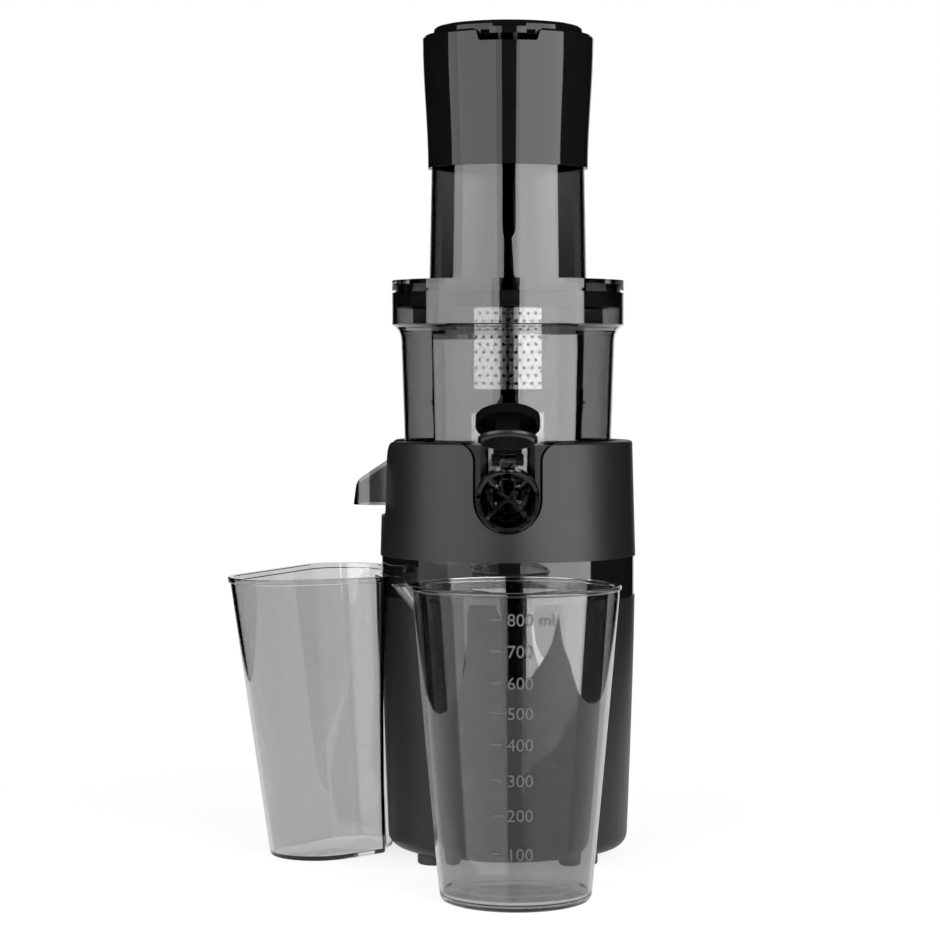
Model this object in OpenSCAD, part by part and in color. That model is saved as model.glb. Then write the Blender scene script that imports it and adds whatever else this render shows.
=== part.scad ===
// Upright cold press juicer with its juice cup and its pulp container.
// Millimetres. Z is the machine axis, the table is z = 0 and the front faces -Y.

/* [Drive unit] */
// Gap between the table and the underside of the housing
foot_gap = 5.6; // [4:0.2:10]
// Height of the lower housing
housing_height = 136.2; // [132:0.5:160]
// Radius of the lower housing at its top
housing_r_top = 68.8; // [66:0.1:71]
// How much smaller that radius is at the underside
housing_draft = 4.2; // [2:0.1:6]
// How far down the housing starts to draw in: 1 is a straight cone
housing_bend = 1.3; // [1:0.05:1.6]
// Rounding between the underside and the side of the housing
housing_rounding = 7; // [3:0.5:9]
// Wall of the housing, the band and the collar
shell_wall = 2.6; // [2:0.1:3.4]
// Height of the glossy band
band_height = 21.3; // [14:0.5:28]
// How far the band lies back from the housing
band_recess = 0.4; // [0.2:0.1:1.2]
// Height of the collar
collar_height = 61.9; // [56:0.5:68]
// How far the collar's foot stands out from the housing's top
collar_step = 0.3; // [0:0.1:1]
// How much smaller the collar's radius is at its rim
collar_draft = 1.7; // [0.5:0.1:2.5]
// Rounding of the collar's rim
collar_rounding = 1.5; // [1:0.5:4]
// Radius of a rubber foot
foot_r = 9; // [6:0.5:11]
// Sideways place of each foot, as a share of the housing's radius
foot_x_share = 0.567; // [0.5:0.005:0.6]
// Fore and aft place of each foot, as such a share
foot_y_share = 0.458; // [0.4:0.005:0.5]
// Thickness of the bottom cover
cover_thickness = 3; // [2:0.2:4]

/* [Motor and gears] */
// Radius of the motor can
motor_r = 33; // [26:0.5:36]
// Length of the motor can
motor_length = 58; // [40:1:62]
// Height of the gearbox plate above the table
gearbox_z = 88; // [82:0.5:92]
// Radius of the motor shaft
motor_shaft_r = 2.5; // [1.5:0.1:3.5]
// Centre distance of both gear stages, as a share of the housing's radius
gear_share = 0.465; // [0.44:0.005:0.475]
// Teeth of the pinion on the motor shaft
first_pinion_teeth = 14; // [12:1:18]
// Teeth of the first driven gear
first_gear_teeth = 50; // [44:1:54]
// Teeth of the second pinion
second_pinion_teeth = 10; // [10:1:12]
// Teeth of the output gear
second_gear_teeth = 30; // [28:1:34]
// Face width of the first stage
first_face = 7; // [5:0.5:8]
// Face width of the second stage
second_face = 10; // [8:0.5:11]
// Backlash between the gear teeth
backlash = 0.3; // [0.2:0.05:0.5]
// Radius of the drive shaft
drive_shaft_r = 6; // [5:0.25:7]
// Width across the flats of the drive shaft's hexagon
hex_width = 10; // [8:0.25:11]

/* [Bowl] */
// Height of the juice bowl
bowl_height = 138; // [132:0.5:144]
// Radius of the bowl at its foot
bowl_r_bottom = 54.1; // [53:0.1:55]
// Radius of the bowl below the flare
bowl_r_top = 57.8; // [56.5:0.1:58.5]
// Wall of the bowl
bowl_wall = 2.2; // [1.8:0.1:2.8]
// Radius of the ring round the mouth of the bowl
ring_r = 62.8; // [61:0.1:65]
// Height of that ring
ring_height = 17; // [14:0.5:20]
// Height of the flare below the ring
flare_height = 8.4; // [5:0.2:11]
// Height of the bowl's floor above its foot
floor_rise = 12; // [10:0.5:14]
// Gap between the bowl and its seat
seat_gap = 0.9; // [0.6:0.1:1.4]

/* [Juice spout] */
// Height of the spout's mouth above the foot of the bowl
spout_rise = 29.6; // [27:0.2:32]
// Distance of the mouth from the machine axis
spout_reach = 80; // [77:0.2:82]
// Outer radius of the mouth
mouth_r = 16.35; // [14:0.1:17]
// Thickness of the mouth's ring
mouth_wall = 1.95; // [1.4:0.1:2.6]
// Outer radius of the neck
neck_r = 10; // [8:0.1:10.5]
// Tilt of the mouth towards the cup
spout_tilt = 11; // [6:0.5:14]
// Height of the hinge pin above the centre of the mouth
hinge_rise = 21; // [20:0.2:23]
// Radius of the hinge pin
hinge_pin_r = 1.55; // [1.2:0.05:1.8]
// Width of the hinge
hinge_width = 16.4; // [14:0.2:18]
// Width of the bowl's lug between the two knuckles of the cap
lug_width = 7.6; // [6:0.2:9]
// Angle at which the drip cap stands open
cap_open = 118.5; // [100:0.5:125]
// Radius of the drip cap
cap_r = 16.5; // [14:0.1:17]

/* [Pulp spout] */
// Distance of the hood's end from the machine axis
hood_reach = 83.2; // [80:0.2:88]
// Half the width of the hood
hood_half_width = 16; // [13:0.2:17]
// Height of the hood's lower edge above the foot of the bowl
hood_rise = 24.1; // [22:0.2:26]
// Height of the hood's upright end
hood_side = 8.5; // [6:0.5:11]
// Rounding between that end and the sloping roof
hood_corner = 8; // [5:0.5:10]
// Slope of the roof
hood_slope = 34; // [28:1:40]

/* [Strainer and auger] */
// Distance from the strainer's top to the mouth of the bowl
strainer_drop = 7; // [6:0.5:12]
// Outer radius of the strainer at its top
strainer_r_top = 42.2; // [40:0.1:44]
// Outer radius of the strainer at its foot
strainer_r_bottom = 39.6; // [38:0.1:41]
// Wall of the strainer
strainer_wall = 1.6; // [1.2:0.1:2.2]
// Width of a coarse window
coarse_width = 36; // [28:0.5:40]
// Width of a fine window
fine_width = 39; // [28:0.5:42]
// Height of a coarse window
coarse_height = 43; // [30:0.5:46]
// Height of a fine window
fine_height = 31; // [20:0.5:33]
// Diameter of a hole in the coarse screen
coarse_hole = 1.8; // [1.2:0.1:2.2]
// Pitch of the holes in the coarse screen
coarse_pitch = 4.1; // [3.6:0.1:6]
// Gap between the auger's flights and the strainer
auger_gap = 0.9; // [0.5:0.1:1.5]
// Number of flights on the auger
flight_count = 2; // [1:1:3]
// Number of squeezing ribs at the auger's foot
rib_count = 5; // [3:1:6]

/* [Lid and hopper] */
// Outer radius of the feed tube at its foot
tube_r = 42.5; // [40:0.1:43]
// How much narrower the tube is at its top, in the radius
tube_draft = 1.7; // [0:0.1:2.5]
// Wall of the feed tube and the lid
tube_wall = 2.2; // [1.8:0.1:2.8]
// Height of the feed tube above the lid
tube_height = 92; // [80:1:110]
// Thickness of the lid's flange
flange_height = 4.9; // [3.5:0.1:7]
// Height of the groove between the lid and the bowl
groove_height = 1.7; // [1:0.1:3]
// Height of the rim that the lid lets down into the bowl
plug_height = 8; // [5:0.5:10]
// Height of the hopper
hopper_height = 70.5; // [60:0.5:80]
// Bare height of the feed tube below the hopper
tube_bare = 60.4; // [50:0.5:64]
// Radius of the hopper at its foot
hopper_r_bottom = 43.3; // [42.8:0.1:45]
// Radius of the hopper at its rim
hopper_r_top = 46.1; // [45:0.1:50]
// Width of the notch in the hopper's rim
notch_width = 36; // [28:0.5:44]
// Depth of that notch
notch_depth = 6.5; // [4:0.5:9]
// Radius of the raised middle of the hopper's lid
cap_top_r = 40.2; // [34:0.1:40.6]
// Height of the hopper's lid above the hopper's rim
cap_rise = 5; // [3:0.5:8]
// Wall of the hopper at its mouth
hopper_wall = 2.3; // [1.8:0.1:3]
// Width of the tongue of that lid in the notch
tongue_width = 19.4; // [12:0.2:24]

/* [Juice cup] */
// Height of the juice cup
cup_height = 156.8; // [130:1:158]
// Radius of the cup at its foot
cup_r_bottom = 37.6; // [34:0.2:40]
// Radius of the cup below its rim
cup_r_top = 51.3; // [46:0.2:51.5]
// Wall of both cups
cup_wall = 2; // [1.6:0.1:2.6]
// Sideways place of the cup's axis
cup_x = 4; // [-4:0.2:6]
// Distance of the cup's axis in front of the machine axis
cup_front = 127; // [125:0.5:140]
// Distance of the pouring lip's tip from the cup's axis
lip_reach = 59.7; // [56:0.1:62]

/* [Pulp container] */
// Height of the pulp container
bin_height = 153; // [120:1:154]
// How much wider the container is at its rim, on each side
bin_taper = 20; // [12:0.5:24]
// Radius of the container's outer front corner
bin_front_r = 25; // [20:0.5:28]
// Radius of its outer back corner
bin_back_r = 20; // [16:0.5:24]
// Radius of its corner beside the housing
bin_inner_r = 5; // [3:0.5:8]
// Distance from the housing's side to the centre of the front corner
bin_reach = 35.2; // [32:0.2:40]
// Distance from the housing's side to the centre of the back corner
bin_back_reach = 15.2; // [12:0.2:20]
// Distance between the centres of those two corners, fore and aft
bin_length = 38; // [30:0.5:44]
// Fore and aft place of the front corner's centre
bin_y = -3.4; // [-8:0.2:4]
// Gap between the container and the housing
bin_gap = 2; // [1.5:0.1:4]

/* [Hidden] */
$fn = 96;
clearance = 0.3;
running_gap = 0.05;
eps = 0.01;

// Radii and places that follow from the housing
housing_r_bottom = housing_r_top - housing_draft;
collar_r_bottom = housing_r_top + collar_step;
collar_r_top = collar_r_bottom - collar_draft;
foot_x = foot_x_share * housing_r_top;
foot_y = foot_y_share * housing_r_top;
gear_distance = gear_share * housing_r_top;

// Heights of the stack, from the table up
z_housing = foot_gap;
z_band = z_housing + housing_height;
z_collar = z_band + band_height;
z_rim = z_collar + collar_height;
seat_floor = 3;
z_seat = z_collar + seat_floor;
z_bowl = z_seat + clearance;
z_mouth = z_bowl + bowl_height;
z_ring = z_mouth - ring_height;
z_flare = z_ring - flare_height;
z_floor = z_bowl + floor_rise;
floor_thickness = 3;
z_strainer = z_floor + floor_thickness;
strainer_height = z_mouth - strainer_drop - z_strainer;
z_flange = z_mouth + groove_height;
z_lid_top = z_flange + flange_height;
z_tube_top = z_lid_top + tube_height;
z_hopper = z_lid_top + tube_bare;
z_hopper_rim = z_hopper + hopper_height;
z_spout = z_bowl + spout_rise;
z_hinge = z_spout + hinge_rise;
z_hood = z_bowl + hood_rise;

// Drive unit
cover_hole_r = housing_r_bottom - housing_rounding - 1.8;
boss_r = 5;
web_length = 20;
screw_r = 2;
screw_length = 22.7;
screw_hole = 30;
board_width = 48;
board_height = 60;
board_gap = 9;
fan_drop = 13;
gearbox_plate = 3;
gearbox_wall = 2;
gear_air = 2.5;
z_gears = gearbox_z + gearbox_plate + gear_air;
z_second = z_gears + first_face + 4;
z_gearbox_top = z_second + second_face + 3.5;
bearing_r = 14;
bearing_height = 7;
bearing_gap = 4;
z_bearings = z_gearbox_top + gearbox_plate;
hex_r = hex_width / 2 / cos(30);
z_shaft_bottom = z_second - 1;
z_hex = z_seat - 4;
hex_top = z_strainer + 12;
switch_drop = 27.8;
switch_z = z_band - switch_drop;
switch_w = 22;
switch_h = 30;
switch_wall = 1.6;
switch_depth = 17;
switch_face = housing_r(switch_z) + 1.4;
rocker_travel = 8;
gland_z = 27;
gland_r = 6;
cable_r = 3.6;

first_module = 2 * gear_distance / (first_pinion_teeth + first_gear_teeth);
second_module = 2 * gear_distance / (second_pinion_teeth + second_gear_teeth);

// Bowl and strainer
neck_slot = neck_r + 1;
notch_r = mouth_r + 1.75;
liner_wall = 1.8;
trough_wall = 1.3;
hood_slot = hood_half_width + 3.5;
hood_slot_drop = 6;
hub_r = 13.5;
stem_r = 9;
hood_wall = 2;
duct_height = 15;
knuckle_r = 3;
coarse_margin = 1.5;
z_coarse = z_strainer + strainer_height - coarse_height - coarse_margin;
z_fine = z_coarse - 12.5 - fine_height;
screen_wall = 0.8;
screen_play = 0.02;

auger_r_bottom = strainer_r_bottom - strainer_wall - auger_gap;
auger_r_top = strainer_r_top - strainer_wall - auger_gap;
auger_foot_z = z_strainer + 1;
auger_clear = 12;
auger_height = strainer_height - auger_clear;
rib_height = 48;

// ---- Shapes used by more than one piece ----

// Radius of the lower housing at height z
function housing_r(z) = housing_r_top - housing_draft * pow((z_band - z) / housing_height, housing_bend);

// Outer radius of the feed tube at height z
function tube_at(z) = tube_r - tube_draft * (z - z_lid_top) / tube_height;

// Outer radius of the bowl at height z, below the flare
function bowl_r(z) = bowl_r_bottom + (bowl_r_top - bowl_r_bottom) * (z - z_bowl) / (z_flare - z_bowl);

// Outer radius of the strainer at height z
function strainer_r(z) = strainer_r_bottom
    + (strainer_r_top - strainer_r_bottom) * (z - z_strainer) / strainer_height;

module ring(outer, inner, height) {
    difference() {
        cylinder(r = outer, h = height);
        translate([0, 0, -1]) cylinder(r = inner, h = height + 2);
    }
}

// Something at each of the four feet
module at_feet() {
    for ($side_x = [-1, 1], $side_y = [-1, 1])
        translate([$side_x * foot_x, $side_y * foot_y, 0]) children();
}

// Involute gear in the plane, with a tooth centred on +X
function involute(a) = (tan(a) * 180 / PI) - a;
pressure = 25;
module gear_outline(teeth, mod) {
    pitch_r = teeth * mod / 2;
    base_r = pitch_r * cos(pressure);
    tip_r = pitch_r + 0.9 * mod;
    root_r = pitch_r - 1.2 * mod;
    first_r = max(base_r, root_r);
    steps = 3;
    half_pitch = 90 / teeth - backlash / 2 / pitch_r * 90 / PI;
    function half_at(r) = half_pitch + involute(pressure) - involute(acos(min(1, base_r / r)));
    flank = [for (i = [0 : steps]) first_r + (tip_r - first_r) * i / steps];
    points = [
        for (t = [0 : teeth - 1]) let (mid = t * 360 / teeth) each concat(
            [[root_r, mid - half_at(first_r)]],
            [for (r = flank) [r, mid - half_at(r)]],
            [for (i = [steps : -1 : 0]) [flank[i], mid + half_at(flank[i])]],
            [[root_r, mid + half_at(first_r)]]
        )
    ];
    polygon([for (p = points) p[0] * [cos(p[1]), sin(p[1])]]);
}

module gear(teeth, mod, height) {
    linear_extrude(height) gear_outline(teeth, mod);
}

// ---- Drive unit ----

// Half section of the housing, grown or shrunk by an allowance
module housing_section(inset) {
    r = housing_rounding;
    side_z = z_housing + r;
    centre_r = housing_r(side_z) - r;
    steps = 6;
    polygon(concat(
        [[0, z_housing + inset], [centre_r, z_housing + inset]],
        [for (a = [-75 : 15 : 0]) [centre_r + (r - inset) * cos(a), side_z + (r - inset) * sin(a)]],
        [for (i = [1 : steps]) let (z = side_z + (z_band - side_z) * i / steps) [housing_r(z) - inset, z]],
        [[0, z_band]]
    ));
}

module base_housing() {
    color([0.17, 0.17, 0.18]) difference() {
        union() {
            rotate_extrude() difference() {
                housing_section(0);
                housing_section(shell_wall);
                square([cover_hole_r, z_housing + shell_wall + 1]);
            }
            housing_posts();
        }
        at_feet() translate([0, 0, z_housing]) cylinder(r = screw_r, h = screw_hole);
        translate([-switch_w / 2, 40, switch_z - switch_h / 2]) cube([switch_w, 40, switch_h]);
        translate([0, 50, gland_z]) rotate([-90, 0, 0]) cylinder(r = gland_r, h = 30);
    }
}

// Posts from the bottom cover up to the gearbox plate, each with a web to the wall
module housing_posts() {
    z0 = z_housing + cover_thickness;
    web = 2.4;
    intersection() {
        at_feet() {
            translate([0, 0, z0]) cylinder(r = boss_r, h = gearbox_z - z0);
            rotate(atan2($side_y * foot_y, $side_x * foot_x))
                translate([boss_r - 1, -web / 2, z0 + 2]) cube([web_length, web, gearbox_z - z0 - 2]);
        }
        rotate_extrude() housing_section(shell_wall / 2);
    }
}

module glossy_band() {
    color([0.05, 0.05, 0.055]) {
        translate([0, 0, z_band]) ring(
            housing_r_top - band_recess, housing_r_top - band_recess - shell_wall, band_height
        );
        translate([0, 0, z_collar - 2.4]) ring(
            housing_r_top - band_recess - shell_wall + eps, housing_r_top - 12, 2.4
        );
    }
}

// Front view of the cut for a spout: a slot with a round bottom and rounded upper corners
module notch_outline(half_width, z_centre, corner) {
    translate([0, z_centre]) circle(r = half_width);
    notch_outline_top(half_width, z_centre, corner);
}

module notch_outline_top(half_width, z_low, corner) {
    translate([-half_width, z_low]) square([2 * half_width, z_rim + 1 - z_low]);
    for (side = [0, 1]) mirror([side, 0]) difference() {
        translate([half_width - eps, z_rim - corner]) square([corner, corner + 1]);
        translate([half_width + corner, z_rim - corner]) circle(r = corner);
    }
}

module front_cut(half_width, corner) {
    rotate([90, 0, 0]) linear_extrude(100) notch_outline(half_width, z_spout, corner);
}

module side_cut(half_width, corner) {
    bend = 4;
    floor_z = z_hood - hood_slot_drop - (half_width - hood_slot);
    rotate([90, 0, -90]) linear_extrude(100) {
        for (side = [-1, 1]) translate([side * (half_width - bend), floor_z + bend]) circle(r = bend);
        translate([bend - half_width, floor_z]) square([2 * (half_width - bend), bend]);
        notch_outline_top(half_width, floor_z + bend, corner);
    }
}

module collar() {
    color([0.24, 0.24, 0.25]) difference() {
        rotate_extrude() difference() {
            collar_section(0);
            collar_section(shell_wall);
            square([bowl_seat_r() + liner_wall + 0.2, z_rim + 1]);
        }
        front_cut(notch_r, 9.5);
        side_cut(hood_slot, 9.5);
    }
}

function bowl_seat_r() = bowl_r(z_rim) + seat_gap;

module collar_section(inset) {
    r = max(collar_rounding - inset, 0.5);
    base = inset == 0 ? z_collar : z_collar - 1;
    polygon(concat(
        [[0, base], [collar_r_bottom - inset, base]],
        [for (a = [0 : 15 : 90]) [
            collar_r_top - collar_rounding + r * cos(a),
            z_rim - inset - r + r * sin(a)
        ]],
        [[0, z_rim - inset]]
    ));
}

// The glossy liner that holds the bowl, with a floor and the troughs round both spouts
module bowl_seat() {
    r = bowl_seat_r();
    top = z_rim - 0.8;
    color([0.04, 0.04, 0.045]) difference() {
        union() {
            translate([0, 0, z_collar])
                cylinder(r = collar_r_bottom - shell_wall - clearance, h = seat_floor);
            translate([0, 0, z_collar]) cylinder(r = r + liner_wall, h = top - z_collar);
            intersection() {
                union() {
                    front_cut(notch_r - 0.1, 9.4);
                    side_cut(hood_slot - 0.1, 9.4);
                }
                translate([0, 0, z_collar]) cylinder(
                    r1 = collar_r_bottom - shell_wall, r2 = collar_r_top - shell_wall, h = top - z_collar
                );
            }
        }
        translate([0, 0, z_seat]) cylinder(r = r, h = collar_height);
        translate([0, 0, z_collar - 1]) cylinder(r = drive_shaft_r + 3, h = 10);
        translate([0, 0, z_seat]) intersection() {
            cylinder(r = 100, h = collar_height);
            translate([0, 0, -z_seat]) {
                front_funnel(r);
                side_cut(hood_slot - trough_wall, 9.4);
            }
        }
    }
}

// Space for the spout: it narrows from the collar's notch to a slot round the neck
module front_funnel(r) {
    hull() {
        translate([0, -collar_r_bottom, 0]) rotate([90, 0, 0]) linear_extrude(eps) hull()
            notch_outline(notch_r - trough_wall, z_spout, eps);
        translate([0, -r, 0]) rotate([90, 0, 0]) linear_extrude(eps) hull()
            notch_outline(neck_slot, z_spout, eps);
    }
    translate([0, -r + 8, 0]) rotate([90, 0, 0]) linear_extrude(10) notch_outline(neck_slot, z_spout, 5);
    translate([0, -collar_r_top + 4, 0]) rotate([90, 0, 0]) linear_extrude(20)
        notch_outline_top(notch_r - trough_wall, z_rim - 9.4, 9.4);
}

module bottom_cover() {
    slot_count = 7;
    slot_pitch = 6;
    color([0.12, 0.12, 0.125]) translate([0, 0, z_housing]) difference() {
        cylinder(r = cover_hole_r - clearance, h = cover_thickness);
        at_feet() translate([0, 0, -1]) cylinder(r = screw_r + 0.1, h = cover_thickness + 2);
        for (i = [0 : slot_count - 1])
            translate([-20, (i - (slot_count - 1) / 2) * slot_pitch - 1.2, -1])
                cube([40, 2.4, cover_thickness + 2]);
    }
}

module rubber_feet() {
    color([0.1, 0.1, 0.1]) at_feet() rotate_extrude() polygon([
        [4.5, 0], [foot_r - 1, 0], [foot_r - 0.3, 0.4], [foot_r, 1.2], [foot_r, z_housing],
        [screw_r + 0.2, z_housing], [screw_r + 0.2, 3], [4.5, 3]
    ]);
}

module base_screws() {
    color("silver") at_feet() {
        translate([0, 0, 1.4]) cylinder(r = 3.8, h = 1.6);
        translate([0, 0, 2.9]) cylinder(r = screw_r - running_gap, h = screw_length);
    }
}

module motor_can() {
    z0 = gearbox_z - motor_length;
    color([0.55, 0.56, 0.58]) translate([0, 0, z0]) difference() {
        union() {
            cylinder(r = motor_r, h = motor_length);
            translate([0, 0, -4]) cylinder(r = 9, h = 5);
        }
        translate([0, 0, 3]) cylinder(r = motor_r - 2, h = motor_length - 6);
        translate([0, 0, -5]) cylinder(r = motor_shaft_r + running_gap, h = motor_length + 10);
        for (a = [0 : 45 : 315]) rotate(a) translate([18, 0, -1]) cylinder(r = 4, h = 5);
    }
}

// Outline round both gears of the gearbox
module gearbox_outline(extra) {
    circle(r = second_gear_teeth * second_module / 2 + second_module + gear_air + extra);
    translate([0, -gear_distance])
        circle(r = first_gear_teeth * first_module / 2 + first_module + gear_air + extra);
}

module gearbox_case() {
    color([0.62, 0.62, 0.6]) difference() {
        union() {
            translate([0, 0, gearbox_z]) cylinder(r = norm([foot_x, foot_y]) + boss_r, h = gearbox_plate);
            translate([0, 0, gearbox_z]) linear_extrude(z_gearbox_top - gearbox_z)
                gearbox_outline(gearbox_wall);
        }
        translate([0, 0, gearbox_z + gearbox_plate]) linear_extrude(z_gearbox_top) gearbox_outline(0);
        translate([0, 0, gearbox_z - 1]) cylinder(r = motor_shaft_r + 3, h = 10);
        translate([0, -gear_distance, gearbox_z - 1]) cylinder(r = 3 + running_gap / 2, h = 10);
        translate([-switch_w / 2 - 1, switch_face - switch_depth - 1, gearbox_z - 1])
            cube([switch_w + 2, switch_depth, gearbox_plate + 2]);
    }
}

module gearbox_cover() {
    boss_h = 2 * bearing_height + bearing_gap;
    color([0.6, 0.6, 0.58]) difference() {
        union() {
            translate([0, 0, z_gearbox_top]) linear_extrude(gearbox_plate) gearbox_outline(gearbox_wall);
            translate([0, 0, z_bearings]) cylinder(r = bearing_r + 3, h = boss_h);
        }
        translate([0, 0, z_bearings]) cylinder(r = bearing_r, h = boss_h + 1);
        translate([0, 0, z_gearbox_top - 1]) cylinder(r = drive_shaft_r + 1.5, h = 10);
        translate([0, -gear_distance, z_gearbox_top - 1]) cylinder(r = 3 + running_gap / 2, h = 10);
    }
}

module idler_axle() {
    color("silver") translate([0, -gear_distance, gearbox_z])
        cylinder(r = 3, h = z_gearbox_top + gearbox_plate - gearbox_z);
}

module shaft_bearings() {
    color("lightgray") for (i = [0, 1])
        translate([0, 0, z_bearings + i * (bearing_height + bearing_gap)])
            ring(bearing_r - 0.02, drive_shaft_r + 0.02, bearing_height);
}

module shaft_seal() {
    color([0.15, 0.15, 0.15]) translate([0, 0, z_collar]) rotate_extrude() polygon([
        [drive_shaft_r + running_gap, 0], [drive_shaft_r + 3 - 0.02, 0],
        [drive_shaft_r + 3 - 0.02, seat_floor],
        [drive_shaft_r + 3, seat_floor], [drive_shaft_r + 2, seat_floor + 1.2],
        [drive_shaft_r + running_gap, seat_floor + 1.2]
    ]);
}

module control_board() {
    thickness = 1.6;
    relay = [12, 6, 14];
    coil = [10, 6, 12];
    capacitor_r = 5;
    capacitor_length = 7;
    translate([0, motor_r + board_gap, z_housing + cover_thickness]) {
        color([0.1, 0.3, 0.15]) translate([-board_width / 2, 0, 0])
            cube([board_width, thickness, board_height]);
        color([0.1, 0.1, 0.12]) {
            translate([-relay[0] * 1.25, -relay[1], board_height * 0.36]) cube(relay);
            translate([coil[0] * 0.6, thickness, board_height * 0.6]) cube(coil);
            translate([-capacitor_r * 1.2, 0, board_height * 0.86]) rotate([90, 0, 0])
                cylinder(r = capacitor_r, h = capacitor_length);
        }
    }
}

module switch_bezel() {
    face = switch_face;
    w = switch_w - 0.2;
    h = switch_h - 0.2;
    color([0.06, 0.06, 0.065]) difference() {
        union() {
            translate([-w / 2, face - switch_depth, switch_z - h / 2]) cube([w, switch_depth, h]);
            intersection() {
                translate([-w / 2 - 1.6, face - 6, switch_z - h / 2 - 1.6]) cube([w + 3.2, 6, h + 3.2]);
                difference() {
                    translate([0, 0, switch_z - h]) cylinder(r = face + 1, h = 2 * h);
                    rotate_extrude() housing_section(0);
                }
            }
        }
        translate([-w / 2 + switch_wall, face - switch_depth + 2, switch_z - h / 2 + switch_wall])
            cube([w - 2 * switch_wall, switch_depth, h - 2 * switch_wall]);
    }
}

module rocker_switch() {
    w = switch_w - 0.2 - 2 * switch_wall - 0.6;
    h = switch_h - 0.2 - 2 * switch_wall - 1;
    pivot_y = switch_face - 6;
    color([0.03, 0.03, 0.035]) intersection() {
        translate([-w / 2, pivot_y - 6, switch_z - h / 2]) cube([w, 20, h]);
        union() {
            translate([0, pivot_y, switch_z]) rotate([0, 90, 0]) cylinder(r = 5, h = w, center = true);
            for (side = [-1, 1]) translate([0, pivot_y, switch_z]) rotate([side * rocker_travel, 0, 0])
                translate([-w / 2, -2, side > 0 ? 0 : -h]) cube([w, 8, h]);
        }
    }
}

module cord_gland() {
    wall_r = housing_r(gland_z);
    color([0.08, 0.08, 0.08]) translate([0, wall_r, gland_z]) rotate([-90, 0, 0]) difference() {
        union() {
            translate([0, 0, -shell_wall - 4]) cylinder(r = gland_r - 0.1, h = shell_wall + 5);
            translate([0, 0, -shell_wall - 4]) cylinder(r = gland_r + 2, h = 3);
            translate([0, 0, 0.6]) cylinder(r1 = gland_r + 1.6, r2 = gland_r - 0.6, h = 8);
        }
        translate([0, 0, -20]) cylinder(r = cable_r, h = 40);
    }
}

module motor_shaft() {
    z0 = gearbox_z - motor_length - fan_drop - 1;
    can_end = 7;
    color("silver") {
        translate([0, 0, z0]) cylinder(r = motor_shaft_r, h = z_gears + first_face + 0.8 - z0);
        translate([0, 0, z_gears - 0.5]) rotate(-90) gear(first_pinion_teeth, first_module, first_face + 1);
        translate([0, 0, gearbox_z - motor_length + can_end])
            cylinder(r = motor_r - can_end, h = motor_length - 2 * can_end);
    }
}

module cooling_fan() {
    z0 = gearbox_z - motor_length - fan_drop;
    fan_r = motor_r - 3;
    hub = 6;
    depth = 8;
    blade = 1.6;
    color([0.2, 0.2, 0.22]) translate([0, 0, z0]) {
        ring(hub, motor_shaft_r, depth);
        for (a = [0 : 45 : 315]) rotate(a) translate([hub - 1, 0, depth / 2]) rotate([35, 0, 0])
            translate([0, -blade / 2, -depth / 2]) cube([fan_r - hub + 1, blade, depth]);
    }
}

module idler_gear() {
    color([0.85, 0.84, 0.8]) translate([0, -gear_distance, 0]) difference() {
        union() {
            translate([0, 0, z_gears]) rotate(90 + 180 / first_gear_teeth)
                gear(first_gear_teeth, first_module, first_face);
            translate([0, 0, z_gears + first_face - eps]) cylinder(r = 5.5, h = 3);
            translate([0, 0, z_gears + first_face + 2]) rotate(90 + 180 / second_pinion_teeth)
                gear(second_pinion_teeth, second_module, second_face + 3);
        }
        translate([0, 0, z_gears - 1]) cylinder(r = 3 + running_gap, h = 40);
    }
}

module output_gear() {
    color([0.85, 0.84, 0.8]) difference() {
        union() {
            translate([0, 0, z_second]) rotate(-90) gear(second_gear_teeth, second_module, second_face);
            translate([0, 0, z_second]) cylinder(r = 11, h = second_face + 2);
        }
        translate([0, 0, z_second - 1]) cylinder(r = drive_shaft_r, h = second_face + 6);
    }
}

module drive_shaft() {
    color("silver") {
        translate([0, 0, z_shaft_bottom]) cylinder(r = drive_shaft_r, h = z_hex + 6 - z_shaft_bottom);
        translate([0, 0, z_hex + 5]) cylinder(r = hex_r, h = hex_top - z_hex - 5, $fn = 6);
    }
}

// ---- Bowl and spouts ----

// Outer half section of the bowl, shrunk by an allowance
module bowl_section(inset, bottom) {
    sweep = 60;
    polygon(concat(
        [[0, bottom], [bowl_r(bottom) - inset, bottom]],
        [for (a = [0 : 15 : sweep]) [
            bowl_r_top - inset + (ring_r - bowl_r_top) * (1 - cos(a)) / (1 - cos(sweep)),
            z_flare + flare_height * sin(a) / sin(sweep)
        ]],
        [[ring_r - inset, z_mouth + (inset > 0 ? 1 : 0)], [0, z_mouth + (inset > 0 ? 1 : 0)]]
    ));
}

// The spout's own frame: +Z leaves the mouth, and the mouth's plane is z = 0
module at_mouth() {
    translate([0, -spout_reach, z_spout]) rotate([90 + spout_tilt, 0, 0]) children();
}

module spout_body(inset) {
    bell = 8;
    depth = 14;
    at_mouth() rotate_extrude() polygon([
        [0, -34], [neck_r - inset, -34], [neck_r - inset, -depth - 1 + inset],
        [mouth_r - inset - 1, -bell - 2.4 + inset], [mouth_r - inset, -bell - 0.6 + inset],
        [mouth_r - inset, inset > 0 ? 1 : 0], [0, inset > 0 ? 1 : 0]
    ]);
}

// Side view of the hood: an upright end, a round corner and a roof that slopes up to the bowl
module hood_profile(inset) {
    bottom = z_hood - (inset > 0 ? 1 : 0);
    lean = 1.3;
    centre = [hood_reach - lean - hood_corner, z_hood + hood_side];
    turn = 90 - hood_slope;
    r = hood_corner - inset;
    eaves = centre + r * [cos(turn), sin(turn)];
    polygon(concat(
        [[45, bottom], [hood_reach - inset, bottom]],
        [for (i = [0 : 4]) centre + r * [cos(turn * i / 4), sin(turn * i / 4)]],
        [[45, eaves[1] + (eaves[0] - 45) * tan(hood_slope)]]
    ));
}

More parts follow.
